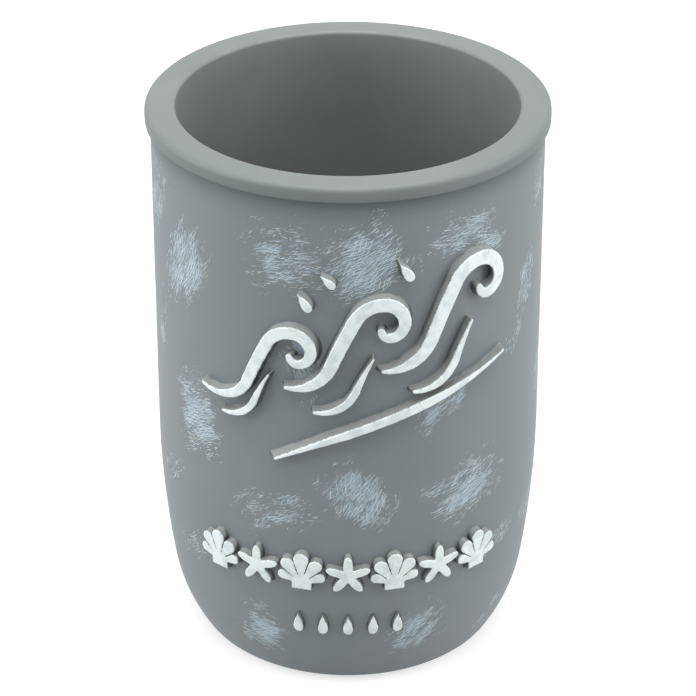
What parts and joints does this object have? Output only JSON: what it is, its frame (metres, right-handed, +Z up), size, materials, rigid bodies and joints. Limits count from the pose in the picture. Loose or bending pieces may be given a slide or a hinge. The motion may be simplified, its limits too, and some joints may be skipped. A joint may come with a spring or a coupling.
{
  "type": "bathroom tumbler",
  "caption": "Round-heeled bathroom tumbler with a stepped rim, thick cast wall and raised waves, shells, stars and drops on its front.",
  "frame": {"origin": "centre of the underside, on the surface that the tumbler stands on", "axes": "+Z up through the mouth, -Y towards the decorated front, +X to the right seen from the front"},
  "size_m": [0.075, 0.0762, 0.11],
  "materials": {
    "grey_resin": "matte grey cast resin, dry-brushed in bluish white on the wall",
    "white_relief": "the same resin, painted matte white on its raised faces",
    "pad_rubber": "milky clear soft rubber"
  },
  "bodies": {
    "root": {"cup_casting": "grey_resin", "wave_crest_1": "white_relief", "wave_crest_2": "white_relief", "wave_crest_3": "white_relief", "wave_ripple_1": "white_relief", "wave_ripple_2": "white_relief", "wave_ripple_3": "white_relief", "wave_sweep": "white_relief", "spray_drop_1": "white_relief", "spray_drop_2": "white_relief", "spray_drop_3": "white_relief", "shell_1": "white_relief", "star_1": "white_relief", "shell_2": "white_relief", "star_2": "white_relief", "shell_3": "white_relief", "star_3": "white_relief", "shell_4": "white_relief", "water_drop_1": "white_relief", "water_drop_2": "white_relief", "water_drop_3": "white_relief", "water_drop_4": "white_relief", "water_drop_5": "white_relief", "foot_pad_1": "pad_rubber", "foot_pad_2": "pad_rubber", "foot_pad_3": "pad_rubber", "foot_pad_4": "pad_rubber"}
  },
  "joints": []
}
